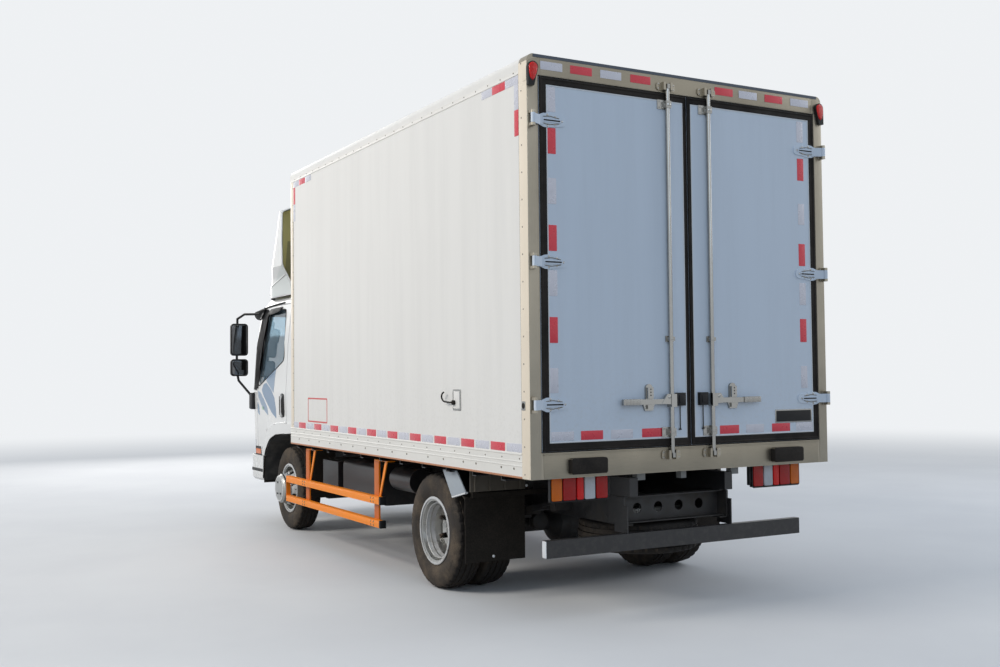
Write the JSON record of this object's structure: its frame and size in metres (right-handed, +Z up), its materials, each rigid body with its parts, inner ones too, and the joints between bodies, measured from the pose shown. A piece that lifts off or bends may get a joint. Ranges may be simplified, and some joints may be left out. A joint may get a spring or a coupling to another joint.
{
  "type": "refrigerated truck",
  "caption": "Cab-over light truck with an insulated box body, rear doors with lock bars, roof fairing, cooling unit and orange side guards.",
  "frame": {"origin": "centre of the footprint box on the ground under the tyres", "axes": "+X the truck's left, -Y its front, +Z up"},
  "size_m": [2.378, 5.979, 3.253],
  "materials": {
    "frame_black": "satin",
    "engine_grey": "rough",
    "tank_grey": "satin",
    "black_plastic": "matte",
    "bare_steel": "dull",
    "tyre": "matte",
    "wheel_silver": "semi-gloss",
    "skirt_aluminium": "satin",
    "body_white": "gloss",
    "stainless": "brushed",
    "unit_white": "gloss",
    "guard_orange": "semi-gloss",
    "black_rubber": "matte",
    "lamp_red": "gloss",
    "cab_white": "gloss",
    "floor_grey": "satin",
    "glass": "clear",
    "lamp_clear": "gloss",
    "seat_fabric": "woven",
    "dash_grey": "matte"
  },
  "bodies": {
    "chassis": {"frame_rails": "frame_black", "cross_members": "frame_black", "leaf_springs": "frame_black", "front_axle": "frame_black", "rear_axle": "frame_black", "powertrain": "engine_grey", "fuel_tank": "tank_grey", "battery_box": "black_plastic", "exhaust": "bare_steel", "spare_tyre": "tyre", "spare_wheel": "wheel_silver", "body_floor": "skirt_aluminium", "floor_beams": "tank_grey", "body_side_left": "body_white", "body_side_right": "body_white", "body_front": "body_white", "body_roof": "body_white", "rear_frame": "stainless", "cooling_unit": "unit_white", "side_guards": "guard_orange", "mudguards": "black_rubber", "underride_bar": "frame_black", "rear_lamps": "lamp_red", "front_bumper": "cab_white"},
    "knuckle_left": {"knuckle_left": "frame_black"},
    "knuckle_right": {"knuckle_right": "frame_black"},
    "wheel_front_left": {"front_tyre_left": "tyre", "front_wheel_left": "wheel_silver"},
    "wheel_front_right": {"front_tyre_right": "tyre", "front_wheel_right": "wheel_silver"},
    "wheels_rear_left": {"rear_tyres_left": "tyre", "rear_wheels_left": "wheel_silver"},
    "wheels_rear_right": {"rear_tyres_right": "tyre", "rear_wheels_right": "wheel_silver"},
    "rear_door_left": {"rear_door_left": "body_white", "lock_gear_left": "stainless"},
    "rear_door_right": {"rear_door_right": "body_white", "lock_gear_right": "stainless"},
    "cab": {"cab_front": "cab_white", "cab_roof": "cab_white", "cab_rear": "cab_white", "cab_floor": "floor_grey", "cab_arms": "frame_black", "cab_glass": "glass", "headlamps": "lamp_clear", "roof_fairing": "cab_white", "seats": "seat_fabric", "dashboard": "dash_grey", "mirrors": "black_plastic"},
    "steering_wheel": {"steering_wheel": "black_plastic"},
    "cab_door_left": {"cab_door_left": "cab_white", "door_glass_left": "glass"},
    "cab_door_right": {"cab_door_right": "cab_white", "door_glass_right": "glass"}
  },
  "joints": [
    {"name": "cab_tilt", "type": "hinge", "parent": "chassis", "child": "cab", "pos_m": [0, -2.85, 0.715], "axis": [1, 0, 0], "range_deg": [0, 45]},
    {"name": "steer_left", "type": "hinge", "parent": "chassis", "child": "knuckle_left", "pos_m": [0.76, -1.887, 0.3875], "axis": [0, 0, 1], "range_deg": [-35, 35]},
    {"name": "steer_right", "type": "hinge", "parent": "chassis", "child": "knuckle_right", "pos_m": [-0.76, -1.887, 0.3875], "axis": [0, 0, 1], "range_deg": [-35, 35]},
    {"name": "spin_front_left", "type": "hinge", "parent": "knuckle_left", "child": "wheel_front_left", "pos_m": [0.83, -1.887, 0.3875], "axis": [1, 0, 0], "continuous": true},
    {"name": "spin_front_right", "type": "hinge", "parent": "knuckle_right", "child": "wheel_front_right", "pos_m": [-0.83, -1.887, 0.3875], "axis": [1, 0, 0], "continuous": true},
    {"name": "spin_rear_left", "type": "hinge", "parent": "chassis", "child": "wheels_rear_left", "pos_m": [0.819, 1.473, 0.3875], "axis": [1, 0, 0], "continuous": true},
    {"name": "spin_rear_right", "type": "hinge", "parent": "chassis", "child": "wheels_rear_right", "pos_m": [-0.819, 1.473, 0.3875], "axis": [1, 0, 0], "continuous": true},
    {"name": "open_rear_left", "type": "hinge", "parent": "chassis", "child": "rear_door_left", "pos_m": [1.112, 2.976, 2], "axis": [0, 0, -1], "range_deg": [0, 255]},
    {"name": "open_rear_right", "type": "hinge", "parent": "chassis", "child": "rear_door_right", "pos_m": [-1.112, 2.976, 2], "axis": [0, 0, 1], "range_deg": [0, 255]},
    {"name": "open_cab_left", "type": "hinge", "parent": "cab", "child": "cab_door_left", "pos_m": [0.978, -2.7178, 1.2], "axis": [0, 0, -1], "range_deg": [0, 70]},
    {"name": "open_cab_right", "type": "hinge", "parent": "cab", "child": "cab_door_right", "pos_m": [-0.978, -2.7178, 1.2], "axis": [0, 0, 1], "range_deg": [0, 70]},
    {"name": "turn_steering_wheel", "type": "hinge", "parent": "cab", "child": "steering_wheel", "pos_m": [0.43, -2.41, 1.5], "axis": [0, 0.5, 0.866], "range_deg": [-560, 560]}
  ],
  "couplings": [
    {"joint": "steer_right", "follows": "steer_left", "ratio": 1},
    {"joint": "turn_steering_wheel", "follows": "steer_left", "ratio": 16}
  ]
}
